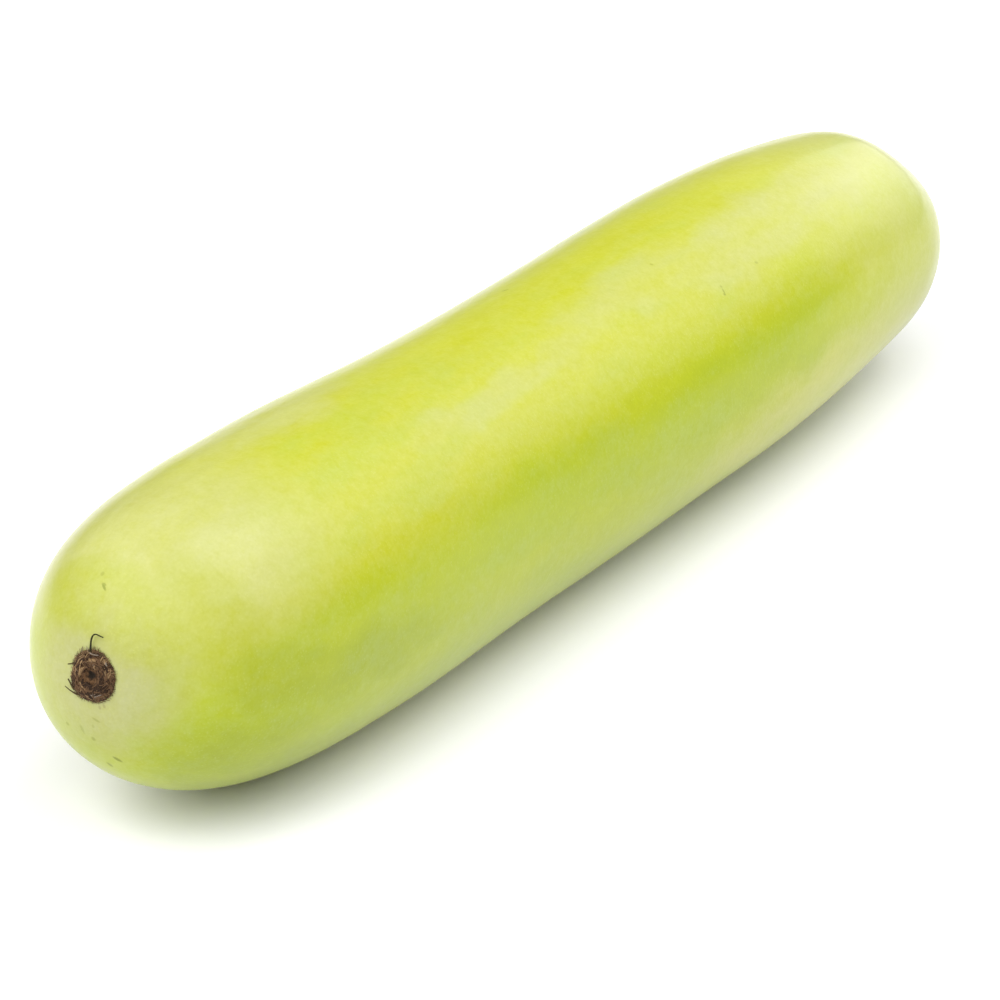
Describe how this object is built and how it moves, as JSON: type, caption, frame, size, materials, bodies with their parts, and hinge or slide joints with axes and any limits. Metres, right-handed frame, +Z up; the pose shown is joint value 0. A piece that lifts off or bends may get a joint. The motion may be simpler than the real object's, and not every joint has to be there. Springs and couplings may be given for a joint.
{
  "type": "bottle gourd",
  "caption": "Long bottle gourd, as picked: pale yellow-green fruit with a slight waist, a brown blossom scar at the fuller end and a cut stalk stub at the other, lying on a small flat.",
  "frame": {"origin": "on the flat that the gourd rests on, under the middle of the fruit's length", "axes": "+X along the fruit from the blossom end to the stalk end, +Z up from the surface it lies on"},
  "size_m": [0.4043, 0.0848, 0.0855],
  "materials": {
    "rind": null,
    "dry_scar": null,
    "cut_stalk": null
  },
  "bodies": {
    "root": {"gourd_body": "rind", "blossom_scar": "dry_scar", "stalk": "cut_stalk"}
  },
  "joints": []
}
